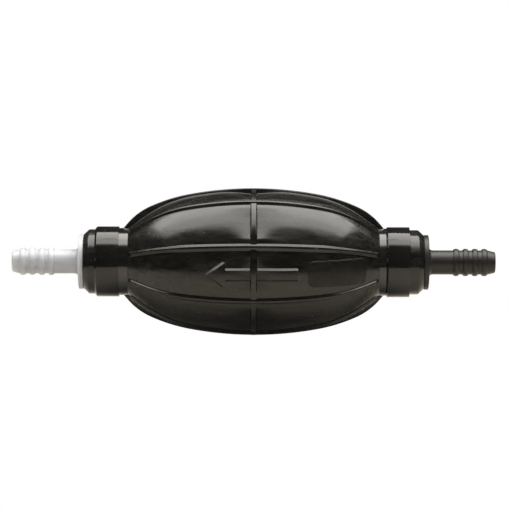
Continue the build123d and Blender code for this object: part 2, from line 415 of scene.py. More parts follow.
# Thick gloss enamel baked onto the ring's steel.
CLAMP_ENAMEL = MouldedFinish(
    "baked_black_enamel", "0d0d0c", roughness=0.1, roughness_swing=0.03, smear_mm=3.0, stretch=4.0,
    grain_mm=2.5, grain_depth_mm=0.008, edge_wear_and_highlight_share=0.3, dust_share=0.5, dust_mm=0.7,
)
# Acetal, turned and milky white.
VALVE_ACETAL = MouldedFinish(
    "natural_acetal", "dedbd2", roughness=0.38, film_colour="cfcabc", film_share=0.4,
    grain_mm=0.8, grain_depth_mm=0.006, scatter=0.2, scatter_mm=1.0, ior=1.48,
)
# Soft nitrile of the washers and O-rings, with the matt skin of a ground seal.
SEAL_RUBBER = MouldedFinish(
    "ground_nitrile_seal", "191918", roughness=0.55, film_share=0.3, grain_mm=0.4, dust_share=0.2,
)
# Spring wire, bright from the die.
SPRING_STEEL = DrawnWireFinish(
    "drawn_stainless_wire", "c9c9c7", roughness=0.22, line_mm=0.2, line_depth_mm=0.003,
)


# ---------------------------------------------------------------- mesh helpers
def finish_mesh(
    bm: bmesh.types.BMesh,
    name: str,
    materials: list[bpy.types.Material],
    sharp_degrees: float = 50.0,
) -> bpy.types.Object:
    """Turns a bmesh in millimetres into an object at the origin, in metres.

    Args:
        bm: The mesh. It is freed.
        name: Name of the piece.
        materials: Its material slots, in order.
        sharp_degrees: Edges that turn by more than this stay crisp.

    Returns:
        The new object.
    """
    bm.transform(Matrix.Scale(MM, 4))
    for edge in bm.edges:
        if len(edge.link_faces) == 2:
            edge.smooth = edge.calc_face_angle(0.0) < math.radians(sharp_degrees)
    for face in bm.faces:
        face.smooth = True
    mesh = bpy.data.meshes.new(name)
    bm.to_mesh(mesh)
    bm.free()
    for material in materials:
        mesh.materials.append(material)
    piece = bpy.data.objects.new(name, mesh)
    bpy.context.scene.collection.objects.link(piece)
    return piece


def dress_node(node: str, material: bpy.types.Material) -> None:
    """Gives a CAD node its material.

    Args:
        node: The CAD node's name.
        material: What it is made of.
    """
    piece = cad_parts[node]
    piece.data.materials.clear()
    piece.data.materials.append(material)
    log.info("%s: %s", node, material.name)


def smooth_step(share: float) -> float:
    """Eases 0 to 1, level at both ends."""
    share = min(1.0, max(0.0, share))
    return share * share * (3 - 2 * share)


def arc(
    centre: tuple[float, float],
    radius: float,
    start: float,
    end: float,
    steps: int = 5,
) -> Points:
    """Points of an arc in a profile.

    Args:
        centre: Its centre.
        radius: Its radius.
        start: Angle of its first point, in degrees.
        end: Angle of its last point, in degrees.
        steps: Number of spans.

    Returns:
        The points, both ends among them.
    """
    found = []
    for step in range(steps + 1):
        angle = math.radians(start + (end - start) * step / steps)
        found.append((centre[0] + radius * math.cos(angle), centre[1] + radius * math.sin(angle)))
    return found


def turned(profile: Points, side: int, steps: int) -> bmesh.types.BMesh:
    """Spins a closed profile a full turn about X.

    Args:
        profile: The profile.
        side: 1 keeps the distances, and -1 puts them on the other side of the middle.
        steps: Faces round.

    Returns:
        The closed solid's mesh.
    """
    bm = bmesh.new()
    loop = [bm.verts.new((side * x, 0.0, -radius)) for x, radius in profile]
    edges = [bm.edges.new((loop[i], loop[i - 1])) for i in range(len(loop))]
    bmesh.ops.spin(
        bm, geom=loop + edges, cent=(0, 0, 0), axis=(1, 0, 0), dvec=(0, 0, 0),
        angle=2 * math.pi, steps=steps, use_merge=True, use_duplicate=False,
    )
    bmesh.ops.remove_doubles(bm, verts=bm.verts[:], dist=1e-4)
    bmesh.ops.recalc_face_normals(bm, faces=bm.faces[:])
    return bm


# ---------------------------------------------------------------- the bulb
@dataclass(frozen=True)
class Outline:
    """Outline of tangent arcs, from the bulb's middle to where it meets the neck.

    Each arc's end is a share of the reach along X and of the rise from foot to top.
    """

    top: float
    foot: float
    reach: float
    arc_ends: tuple[tuple[float, float], ...]

    def height(self, x: float) -> float:
        """Finds the outline's radius at a place along the bulb.

        Args:
            x: The place; both halves are alike.

        Returns:
            The radius, going on down the last arc past its end.
        """
        slope = 0.0
        start_x = 0.0
        start_height = self.top
        for share_along, share_up in self.arc_ends:
            end_x = share_along * self.reach
            end_height = self.foot + share_up * (self.top - self.foot)
            turn = 2 * (math.atan2(start_height - end_height, end_x - start_x) - slope)
            chord = math.hypot(end_x - start_x, end_height - start_height)
            radius = chord / (2 * math.sin(turn / 2))
            centre_x = start_x - radius * math.sin(slope)
            centre_height = start_height - radius * math.cos(slope)
            slope += turn
            if abs(x) <= end_x:
                return centre_height + math.sqrt(radius ** 2 - (abs(x) - centre_x) ** 2)
            start_x = end_x
            start_height = end_height
        return start_height - (abs(x) - start_x) * math.tan(slope)


class Line(Enum):
    """What a row of the skin is nearest to."""

    RIB = "rib"
    PARTING = "parting"


@dataclass(frozen=True)
class Row:
    """One row of the bulb's skin, which runs from end to end at a steady distance from a line."""

    degrees: float          # turned from the half's middle
    offset: float           # further round, as a length on the surface
    distance: float         # from the middle of the nearest line
    across: float           # 0 at a panel's middle, 1 at its ribs
    nearest: Line

    def angle(self, radius: float) -> float:
        """Angle in radians of this row, where the surface has the given radius."""
        return math.radians(self.degrees) + self.offset / radius


@dataclass
class SqueezeBulb:
    """The rubber bulb, moulded in one piece, as two halves that meet at the mould's parting line."""

    middle_radius: float = 28.4
    half_length: float = 49.2
    neck_radius: float = 13.2
    neck_length: float = 17.6
    wall: float = 3.0
    lining_end_radius: float = 9.6
    panel_arcs: tuple[tuple[float, float], ...] = ((0.508, 0.836), (0.827, 0.408), (1.0, 0.0))
    parting_arcs: tuple[tuple[float, float], ...] = ((0.487, 0.857), (0.793, 0.547), (0.963, 0.137))
    rib_degrees: tuple[float, ...] = (-64.4, -21.8, 21.8, 64.4)
    rib_height: float = 0.9
    rib_half_width: float = 0.3
    rib_foot: float = 1.5
    rib_tightening: float = 0.45        # the ribs' sides are steeper towards their ends
    tight_from: float = 26.0
    tight_over: float = 9.0
    rib_end: float = 48.5
    rib_nose: float = 1.1               # each rib's end is rounded over this length
    flank_steps: int = 8                # rows or stations down one side of a rib
    crest_share: float = 0.6            # where the crest's own row is
    past_foot: tuple[float, float] = (0.3, 0.9)
    row_gap: float = 0.7
    parting_reach: float = 2.1          # the parting ridge grows into a web along the neck
    parting_half_width: float = 0.3
    parting_foot: float = 1.2
    girth_height: float = 0.4
    girth_half_width: float = 0.75
    girth_foot: float = 1.5
    dish_depth: float = 1.1             # panels are pressed in beside the girth rib
    dish_reach: float = 8.0
    sharp_degrees: float = 34.0
    panel_rows: int = 22
    panel_stations: int = 52
    end_stations: int = 20
    before_nose: float = 0.6            # the stations close up this far before the ribs' noses
    past_web: float = 0.3
    seat_depth: float = 0.55
    seat_start: dict[End, float] = field(default_factory=lambda: {End.OUTLET: 52.8, End.INLET: 51.8})
    lacquer_end: float = 58.0           # under the ring
    neck_chamfer_length: float = 2.2
    neck_chamfer_depth: float = 2.05
    neck_rounding: float = 0.25
    neck_shoulder: tuple[float, float] = (0.175, 0.15)  # where its rounding runs into the chamfer
    squeeze_still: float = 13.5         # this near the parting plane, the wall stays put
    arrow_tail: float = 18.0
    arrow_length: float = 37.3
    arrow_head_length: float = 8.4
    arrow_head_height: float = 11.5
    arrow_shaft_height: float = 5.1
    arrow_relief: float = 0.75
    arrow_draft: float = 0.83
    mark_margin: float = 2.0            # skin that is cut beyond a mark
    pad_length: float = 23.0
    pad_height: float = 10.4
    pad_gap: float = 2.9
    pad_rounding: float = 2.6
    pad_relief: float = 0.3
    pad_draft: float = 0.5
    corner_cuts: tuple[float, ...] = (15.0, 30.0, 45.0, 60.0, 75.0)
    corner_margin: float = 0.8
    pad_slot: int = 1                   # places in the halves' material slots
    neck_slot: int = 2

    def __post_init__(self) -> None:
        """Works out the outlines."""
        ridge_top = self.middle_radius + self.rib_height
        ridge_end = self.half_length + self.parting_reach
        self.panel = Outline(self.middle_radius, self.neck_radius, self.half_length, self.panel_arcs)
        self.ridge = Outline(ridge_top, self.neck_radius, ridge_end, self.parting_arcs)
        self.neck_end = self.half_length + self.neck_length

    def offsets(self, half_width: float, foot: float) -> list[float]:
        """Distances from a rib's middle of the rows or stations that shape its one side.

        Args:
            half_width: Half of its level crest.
            foot: Half of its whole width.

        Returns:
            The distances, from 0 out to just past its foot.
        """
        run = (foot - half_width) / self.flank_steps
        flank = [half_width + run * step for step in range(self.flank_steps + 1)]
        return [0.0, half_width * self.crest_share, *flank, *[foot + past for past in self.past_foot]]

    def rows(self) -> list[Row]:
        """Lists the skin's rows over half a turn, from the lower parting line to the upper one.

        Returns:
            The rows in order.
        """
        steps = {
            Line.RIB: self.offsets(self.rib_half_width, self.rib_foot),
            Line.PARTING: self.offsets(self.parting_half_width, self.parting_foot),
        }
        lines = [(-90.0, Line.PARTING), *[(angle, Line.RIB) for angle in self.rib_degrees]]
        lines.append((90.0, Line.PARTING))
        found = []
        for number, (angle, nearest) in enumerate(lines):
            reach = [-step for step in reversed(steps[nearest][1:])] + steps[nearest]
            if angle == -90.0:
                reach = [step for step in reach if step >= 0]
            if angle == 90.0:
                reach = [step for step in reach if step <= 0]
            level = 0.0 if nearest is Line.PARTING else 1.0
            found += [Row(angle, step, abs(step), level, nearest) for step in reach]
            if angle == 90.0:
                break
            next_angle, next_nearest = lines[number + 1]
            gap = steps[nearest][-1] + self.row_gap
            next_gap = steps[next_nearest][-1] + self.row_gap
            whole = nearest is next_nearest
            count = self.panel_rows if whole else self.panel_rows // 2
            for step in range(count + 1):
                share = step / count
                across = abs(2 * share - 1) if whole else (share if number == 0 else 1 - share)
                found.append(Row(
                    angle + share * (next_angle - angle), gap - share * (gap + next_gap),
                    gap, across, Line.RIB,
                ))
        return found

    def stations(self) -> list[float]:
        """Lists the places along X of the skin's cross-sections.

        Returns:
            The places, from the middle to where the neck is plain.
        """
        found = self.offsets(self.girth_half_width, self.girth_foot)
        stretches = (
            (self.rib_end - self.rib_nose - self.before_nose, self.panel_stations),
            (self.half_length + self.parting_reach + self.past_web, self.end_stations),
        )
        for stop, steps in stretches:
            start = found[-1]
            found += [start + (stop - start) * step / steps for step in range(1, steps + 1)]
        return found

    def neck_profile(self, end: End) -> Points:
        """Outer profile of one neck beyond the last station, outwards.

        Args:
            end: Which end.

        Returns:
            Points of distance from the middle and radius.
        """
        seat = self.neck_radius - self.seat_depth
        start = self.seat_start[end]
        rounding = self.neck_rounding
        shoulder = self.neck_shoulder
        chamfer = self.neck_end - self.neck_chamfer_length
        lip = seat - self.neck_chamfer_depth
        return [
            (start, self.neck_radius),
            (start, seat),
            (chamfer - rounding, seat),
            (chamfer + shoulder[0], seat - shoulder[1]),
            (self.neck_end - rounding, lip + rounding),
            (self.neck_end, lip),
        ]

    def lining(self, x: float) -> float:
        """Radius of the bulb's inner wall at x."""
        return max(self.panel.height(x) - self.wall, self.lining_end_radius)

    def is_outside(self, place: Vector) -> bool:
        """Whether a place on the half is on its skin, and not on its lining."""
        return math.hypot(place.y, place.z) > self.lining(place.x) + self.wall / 4

    def rib_rise(self, x: float) -> float:
        """How far a rib stands above the panels, measured along the radius.

        Args:
            x: Place along the bulb.

        Returns:
            The rise, which rounds off to nothing at the rib's end.
        """
        near = 0.2
        slope = (self.panel.height(abs(x) - near) - self.panel.height(abs(x) + near)) / (2 * near)
        into_nose = (abs(x) - self.rib_end + self.rib_nose) / self.rib_nose
        into_nose = min(1.0, max(0.0, into_nose))
        return self.rib_height * math.hypot(1.0, slope) * math.sqrt(1 - into_nose ** 2)

    def skin(self, x: float, row: Row) -> float:
        """Radius of the outer surface.

        Args:
            x: Place along the bulb.
            row: Row of the skin.

        Returns:
            The radius there.
        """
        base = max(self.panel.height(x), self.neck_radius)
        base -= self.dish_depth * math.exp(-((x / self.dish_reach) ** 2)) * (1 - row.across ** 2)
        if row.nearest is Line.PARTING:
            top = max(self.ridge.height(x) - base, 0.0)
            half_width, foot = self.parting_half_width, self.parting_foot
        else:
            top = self.rib_rise(x)
            half_width = self.rib_half_width
            towards_end = smooth_step((abs(x) - self.tight_from) / self.tight_over)
            foot = self.rib_foot - self.rib_tightening * towards_end
        beside_line = 1 - smooth_step((row.distance - half_width) / (foot - half_width))
        girth_run = self.girth_foot - self.girth_half_width
        beside_girth = 1 - smooth_step((abs(x) - self.girth_half_width) / girth_run)
        girth_rise = (self.middle_radius + self.girth_height - base) * beside_girth
        return base + max(top * beside_line, girth_rise)

    def profile(self) -> Points:
        """Lists the closed profile that a half is spun from.

        Returns:
            Its points: outside towards +X, then back inside.
        """
        stations = self.stations()
        outside = []
        for end in End:
            half = [(end.value * x, max(self.panel.height(x), self.neck_radius)) for x in stations]
            half += [(end.value * x, radius) for x, radius in self.neck_profile(end)]
            outside = outside[::-1][:-1] + half if outside else half
        lining_steps = 40
        inside = []
        for step in range(lining_steps + 1):
            x = self.neck_end * (1 - 2 * step / lining_steps)
            inside.append((x, self.lining(x)))
        return outside + inside

    def spun_half(self, facing: Facing) -> bmesh.types.BMesh:
        """Spins the profile through half a turn and moves its rows and ribs to their places.

        Args:
            facing: Which half.

        Returns:
            The closed half, in millimetres.
        """
        rows = self.rows()
        steps = len(rows) - 1
        bm = bmesh.new()
        loop = [bm.verts.new((x, 0.0, -radius)) for x, radius in self.profile()]
        edges = [bm.edges.new((loop[i], loop[i - 1])) for i in range(len(loop))]
        bmesh.ops.spin(
            bm, geom=loop + edges, cent=(0, 0, 0), axis=(1, 0, 0), dvec=(0, 0, 0),
            angle=facing.value * math.pi, steps=steps, use_merge=False, use_duplicate=False,
        )
        on_station = 0.01
        last_station = self.stations()[-1] + on_station
        for vert in bm.verts:
            radius = math.hypot(vert.co.y, vert.co.z)
            around = math.atan2(vert.co.z, facing.value * vert.co.y)
            row = rows[round((around / math.pi + 0.5) * steps)]
            if self.is_outside(vert.co) and abs(vert.co.x) < last_station:
                radius = self.skin(vert.co.x, row)
            angle = row.angle(radius)
            vert.co.y = facing.value * radius * math.cos(angle)
            vert.co.z = radius * math.sin(angle)
        rims = [edge for edge in bm.edges if len(edge.link_faces) == 1]
        bmesh.ops.holes_fill(bm, edges=rims, sides=0)
        bmesh.ops.recalc_face_normals(bm, faces=bm.faces[:])
        return bm

    def cut(
        self,
        bm: bmesh.types.BMesh,
        faces: list[bmesh.types.BMFace],
        through: tuple[float, float],
        along: tuple[float, float],
    ) -> list[bmesh.types.BMFace]:
        """Cuts skin faces along a line of the XZ plane.

        Args:
            bm: The half.
            faces: The faces to cut.
            through: A point of the line, as X and Z.
            along: The line's direction, as X and Z.

        Returns:
            The same faces and the new ones.
        """
        edges = {edge for face in faces for edge in face.edges}
        verts = {vert for face in faces for vert in face.verts}
        found = bmesh.ops.bisect_plane(
            bm, geom=[*faces, *edges, *verts], dist=1e-4,
            plane_co=(through[0], 0, through[1]), plane_no=(along[1], 0, -along[0]),
        )
        return [item for item in found["geom"] if isinstance(item, bmesh.types.BMFace)]

    def mark_zone(self, bm: bmesh.types.BMesh, low: float, high: float) -> list[bmesh.types.BMFace]:
        """Finds the skin that a mark is cut into.

        Args:
            bm: The front half.
            low: The mark's lower end along X.
            high: Its upper end.

        Returns:
            The outer faces of the arrow panel round the mark.
        """
        found = []
        for face in bm.faces:
            middle = face.calc_center_median()
            along = low - self.mark_margin < middle.x < high + self.mark_margin
            across = middle.y < 0 and abs(middle.z) < self.arrow_head_height
            if along and across and self.is_outside(middle):
                found.append(face)
        return found

    def emboss(
        self,
        faces: list[bmesh.types.BMFace],
        depth_inside: Callable[[float, float], float],
        draft: float,
        relief: float,
    ) -> None:
        """Raises a mark on the skin, with a sloping side all round. The girth rib stays over it.

        Args:
            faces: Faces of the skin that the mark's outlines are already cut into.
            depth_inside: Gives how far inside the mark's outline a place of X and Z is.
            draft: Width of the sloping side.
            relief: Height of the mark.
        """
        girth_run = self.girth_foot - self.girth_half_width
        for vert in {vert for face in faces for vert in face.verts}:
            up_side = min(1.0, max(0.0, depth_inside(vert.co.x, vert.co.z) / draft))
            clear_of_girth = smooth_step((abs(vert.co.x) - self.girth_half_width) / girth_run)
            lift = 1 + relief * up_side * clear_of_girth / math.hypot(vert.co.y, vert.co.z)
            vert.co.y *= lift
            vert.co.z *= lift

    def emboss_arrow(self, bm: bmesh.types.BMesh) -> None:
        """Raises the flow arrow, which passes under the girth rib.

        Args:
            bm: The front half.
        """
        tip = self.arrow_tail - self.arrow_length
        neck = tip + self.arrow_head_length
        half_shaft = self.arrow_shaft_height / 2
        lean = math.atan2(self.arrow_head_height / 2, self.arrow_head_length)

        def depth_inside(x: float, z: float) -> float:
            """Measures how far inside the arrow's outline a place is.

            Args:
                x: The place along X.
                z: Its height.

            Returns:
                The depth, below 0 outside the arrow.
            """
            in_shaft = min(half_shaft - abs(z), self.arrow_tail - x, x - neck + 2 * self.arrow_draft)
            in_head = min((x - tip) * math.sin(lean) - abs(z) * math.cos(lean), neck - x)
            return max(in_shaft, in_head)

        faces = self.mark_zone(bm, tip, self.arrow_tail)
        for inset in (0.0, self.arrow_draft):
            for side in (-1, 1):
                faces = self.cut(bm, faces, (0, side * (half_shaft - inset)), (1, 0))
                start = tip + inset / math.sin(lean)
                faces = self.cut(bm, faces, (start, 0), (math.cos(lean), side * math.sin(lean)))
            for x in (neck - inset, self.arrow_tail - inset):
                faces = self.cut(bm, faces, (x, 0), (0, 1))
        self.emboss(faces, depth_inside, self.arrow_draft, self.arrow_relief)

    def emboss_pad(self, bm: bmesh.types.BMesh) -> None:
        """Raises the blank pad beyond the arrow's tail and gives it its dull skin.

        Args:
            bm: The front half.
        """
        start = self.arrow_tail + self.pad_gap
        middle_x = start + self.pad_length / 2
        straight = (self.pad_length / 2 - self.pad_rounding, self.pad_height / 2 - self.pad_rounding)

        def depth_inside(x: float, z: float) -> float:
            """Measures how far inside the pad's rounded outline a place is.

            Args:
                x: The place along X.
                z: Its height.

            Returns:
                The depth, below 0 outside the pad.
            """
            over_x = max(abs(x - middle_x) - straight[0], 0.0)
            over_z = max(abs(z) - straight[1], 0.0)
            return self.pad_rounding - math.hypot(over_x, over_z)

        faces = self.mark_zone(bm, start, start + self.pad_length)
        for rounding in (self.pad_rounding, self.pad_rounding - self.pad_draft):
            for side in (-1, 1):
                faces = self.cut(bm, faces, (0, side * (straight[1] + rounding)), (1, 0))
                faces = self.cut(bm, faces, (middle_x + side * (straight[0] + rounding), 0), (0, 1))
            for side_x in (-1, 1):
                for side_z in (-1, 1):
                    centre = (middle_x + side_x * straight[0], side_z * straight[1])
                    faces = self.round_corner(bm, faces, centre, (side_x, side_z), rounding)
        for face in faces:
            place = face.calc_center_median()
            if depth_inside(place.x, place.z) > 0:
                face.material_index = self.pad_slot
        self.emboss(faces, depth_inside, self.pad_draft, self.pad_relief)

    def round_corner(
        self,
        bm: bmesh.types.BMesh,
        faces: list[bmesh.types.BMFace],
        centre: tuple[float, float],
        sides: tuple[int, int],
        rounding: float,
    ) -> list[bmesh.types.BMFace]:
        """Cuts skin faces along the tangents of one rounded corner.

        Args:
            bm: The half.
            faces: The faces to cut.
            centre: Middle of the rounding, as X and Z.
            sides: Which way the corner points, as -1 or 1 along X and Z.
            rounding: Its radius.

        Returns:
            The same faces and the new ones.
        """
        for degrees in self.corner_cuts:
            lean = math.radians(degrees)
            out = (sides[0] * math.cos(lean), sides[1] * math.sin(lean))
            touch = (centre[0] + rounding * out[0], centre[1] + rounding * out[1])
            corner = []
            for face in faces:
                place = face.calc_center_median()
                past_x = (place.x - centre[0]) * sides[0] > -self.corner_margin
                past_z = (place.z - centre[1]) * sides[1] > -self.corner_margin
                if past_x and past_z:
                    corner.append(face)
            rest = set(faces) - set(corner)
            faces = [*rest, *self.cut(bm, corner, touch, (-out[1], out[0]))]
        return faces

    def build(self) -> None:
        """Builds and dresses both halves."""
        rubber = BULB_RUBBER.material()
        pad = PAD_RUBBER.material()
        neck = NECK_RUBBER.material()
        for facing in Facing:
            word = facing.name.lower()
            bm = self.spun_half(facing)
            if facing is Facing.FRONT:
                self.emboss_arrow(bm)
                self.emboss_pad(bm)
            for face in bm.faces:
                if self.half_length < abs(face.calc_center_median().x) < self.lacquer_end:
                    face.material_index = self.neck_slot
            piece = finish_mesh(bm, f"bulb_{word}_half", [rubber, pad, neck], self.sharp_degrees)
            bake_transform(piece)
            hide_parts("bulb_shell", f"squeeze_wall_{word}")
            log.info("%s: %d faces, %s", piece.name, len(piece.data.polygons), rubber.name)


# ---------------------------------------------------------------- clamp rings and fittings
@dataclass
class ClampRing:
    """The enamelled steel ring that grips one neck. Both rings have their lead-in edge at -X."""

    end: End
    thickness: float = 1.15
    lead_in: float = 0.75
    edge_rounding: float = 0.12
    edge_segments: int = 3
    corner_degrees: float = 30.0        # edges that turn by more are rounded
    steps: int = 128

    def build(self, material: bpy.types.Material) -> None:
        """Builds and hangs the ring.

        Args:
            material: Its enamel.
        """
        low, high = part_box(self.end.node("clamp_ring"))
        start, stop, outer = low[0] / MM, high[0] / MM, high[2] / MM
        inner = outer - self.thickness
        profile = [
            (start, inner), (start, outer - self.lead_in), (start + self.lead_in, outer),
            (stop, outer), (stop, inner),
        ]
        bm = turned(profile, 1, self.steps)
        least_turn = math.radians(self.corner_degrees)
        corners = [edge for edge in bm.edges if edge.calc_face_angle(0.0) > least_turn]
        bmesh.ops.bevel(
            bm, geom=corners, offset=self.edge_rounding, offset_type="OFFSET",
            segments=self.edge_segments, profile=0.5, affect="EDGES", material=-1,
        )
        piece = finish_mesh(bm, f"{self.end.name.lower()}_ring", [material])
        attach(piece, "pump_body")
        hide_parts(self.end.node("clamp_ring"))
        log.info("%s: %d faces, %s", piece.name, len(piece.data.polygons), material.name)


@dataclass
class BarbedFitting:
    """One end's moulded fitting: hose barb, flange, and the plug that holds the check valve."""

    end: End
    shank_radius: float = 4.75
    barb_length: float = 26.3
    flow_bore_radius: float = 3.2
    bore_chamfer: float = 0.3
    ridge_count: int = 4
    ridge_height: float = 0.65
    ridge_half_width: float = 1.15
    ridge_pitch: float = 3.7
    first_ridge: float = 4.3            # tip to the middle of the first ridge
    taper_length: float = 3.0
    taper_depth: float = 0.75
    tip_rounding: float = 0.6
    tip_rounding_depth: float = 0.45    # how deep the rounding's middle lies under the taper's end
    flange_thickness: float = 1.9
    flange_rounding: float = 0.35
    root_rounding: float = 1.8
    plug_radius: float = 9.5
    plug_ridge_count: int = 3
    plug_ridge_height: float = 0.4
    plug_ridge_length: float = 2.4
    plug_ridge_pitch: float = 4.0
    plug_first_ridge: float = 3.0
    chamber_radius: float = 7.0
    chamber_floor: float = 2.8          # flange's inner face to the chamber's bottom
    funnel_radius: float = 5.6
    funnel_length: float = 2.4
    parting_height: float = 0.06        # line that the mould's halves leave along the barb
    steps: int = 96

    def ridges(self, tip: float) -> Points:
        """Lists the profile of the barb's ridges.

        Args:
            tip: Distance of the barb's tip.

        Returns:
            Its points, towards the tip.
        """
        found = []
        for number in reversed(range(self.ridge_count)):
            middle = tip - self.first_ridge - number * self.ridge_pitch
            for along, up in arc((0.0, 0.0), 1.0, 180, 0, 12):
                found.append((
                    middle + self.ridge_half_width * along, self.shank_radius + self.ridge_height * up,
                ))
        return found

    def profile(self, mouth: float, tip: float, flange_radius: float) -> Points:
        """Closed profile of the fitting.

        Args:
            mouth: Distance of the plug's open end from the bulb's middle.
            tip: Distance of the barb's tip.
            flange_radius: The flange's radius.

        Returns:
            Points of distance and radius: outside towards the tip, then back through the bore.
        """
        face = tip - self.barb_length
        neck_end = face - self.flange_thickness
        chamber = neck_end - self.chamber_floor
        corner = flange_radius - self.flange_rounding
        root = self.shank_radius + self.root_rounding
        found = [(mouth, self.chamber_radius), (mouth, self.plug_radius)]
        for number in reversed(range(self.plug_ridge_count)):
            back = neck_end - self.plug_first_ridge - number * self.plug_ridge_pitch
            found.append((back - self.plug_ridge_length, self.plug_radius))
            found.append((back, self.plug_radius + self.plug_ridge_height))
            found.append((back, self.plug_radius))
        found.append((neck_end, self.plug_radius))
        found += arc((neck_end + self.flange_rounding, corner), self.flange_rounding, 180, 90)
        found += arc((face - self.flange_rounding, corner), self.flange_rounding, 90, 0)
        found += arc((face + self.root_rounding, root), self.root_rounding, 180, 270, 8)
        found += self.ridges(tip)
        found.append((tip - self.taper_length, self.shank_radius))
        lean = math.degrees(math.atan2(self.taper_depth, self.taper_length))
        tip_radius = self.shank_radius - self.taper_depth
        centre = (tip - self.tip_rounding, tip_radius - self.tip_rounding_depth)
        found += arc(centre, self.tip_rounding, 90 - lean, 0, 6)
        found.append((tip, self.flow_bore_radius + self.bore_chamfer))
        found.append((tip - self.bore_chamfer, self.flow_bore_radius))
        found.append((chamber + self.funnel_length, self.flow_bore_radius))
        found.append((chamber, self.funnel_radius))
        found.append((chamber, self.chamber_radius))
        return found

    def build(self, material: bpy.types.Material) -> None:
        """Builds and hangs the fitting.

        Args:
            material: Its nylon.
        """
        low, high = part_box(self.end.node("fitting"))
        reach = sorted((abs(low[0]) / MM, abs(high[0]) / MM))
        bm = turned(self.profile(reach[0], reach[1], high[2] / MM), self.end.value, self.steps)
        barb = reach[1] - self.barb_length + self.root_rounding
        on_line = 0.01
        for vert in bm.verts:
            outside = abs(vert.co.z) > self.flow_bore_radius + 2 * self.bore_chamfer
            if outside and abs(vert.co.y) < on_line and abs(vert.co.x) > barb:
                vert.co.z += math.copysign(self.parting_height, vert.co.z)
        piece = finish_mesh(bm, f"{self.end.name.lower()}_barb_fitting", [material])
        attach(piece, "pump_body")
        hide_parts(self.end.node("fitting"))
        log.info("%s: %d faces, %s", piece.name, len(piece.data.polygons), material.name)


@dataclass
class CheckValve:
    """One end's check valve. Its spring is a coil; the rest keeps its CAD shape."""

    end: End
    spring_wire: float = 0.5
    spring_coils: int = 5
    steps_per_coil: int = 28
    wire_sides: int = 12

    def build(self, finishes: dict[str, bpy.types.Material]) -> None:
        """Dresses the valve's CAD nodes and makes its spring.

        Args:
            finishes: Materials by the record's slots.
        """
        slots = {
            "valve_seat": "valve_plastic",
            "poppet": "valve_plastic",
            "guide_cage": "valve_plastic",
            "seat_o_ring": "seal_rubber",
            "poppet_washer": "seal_rubber",
        }
        for part, slot in slots.items():
            dress_node(self.end.node(part), finishes[slot])
        self.spring(finishes["spring_steel"])

    def spring(self, material: bpy.types.Material) -> None:
        """Coils the spring between the poppet and the cage.

        Args:
            material: Its wire.
        """
        low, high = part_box(self.end.node("valve_spring"))
        wire_radius = self.spring_wire / 2
        steps = self.spring_coils * self.steps_per_coil
        rise = ((high[0] - low[0]) / MM - self.spring_wire) / steps
        upright = Matrix.Rotation(math.pi / 2, 3, "X")
        start = (low[0] / MM + wire_radius, 0, wire_radius - high[2] / MM)
        bm = bmesh.new()
        bmesh.ops.create_circle(bm, segments=self.wire_sides, radius=wire_radius)
        bmesh.ops.rotate(bm, verts=bm.verts[:], cent=(0, 0, 0), matrix=upright)
        bmesh.ops.translate(bm, verts=bm.verts[:], vec=start)
        bmesh.ops.spin(
            bm, geom=bm.verts[:] + bm.edges[:], cent=(0, 0, 0), axis=(1, 0, 0), dvec=(rise, 0, 0),
            angle=2 * math.pi * self.spring_coils, steps=steps, use_merge=False, use_duplicate=False,
        )
        ends = [edge for edge in bm.edges if len(edge.link_faces) == 1]
        bmesh.ops.holes_fill(bm, edges=ends, sides=0)
        bmesh.ops.recalc_face_normals(bm, faces=bm.faces[:])
        piece = finish_mesh(bm, f"{self.end.name.lower()}_coil_spring", [material])
        lift_name = self.end.node("poppet_lift")
        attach(piece, "pump_body")
        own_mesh(piece)
        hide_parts(self.end.node("valve_spring"))
        log.info("%s: %d faces, %s", piece.name, len(piece.data.polygons), material.name)


# ---------------------------------------------------------------- studio
@dataclass(frozen=True)
class SoftPanel:
    """One soft light overhead, level, facing down. Lengths are in metres."""

    name: str
    along: tuple[float, float]          # its two ends along X
    across: tuple[float, float]         # its two ends along Y
    watts_per_area: float


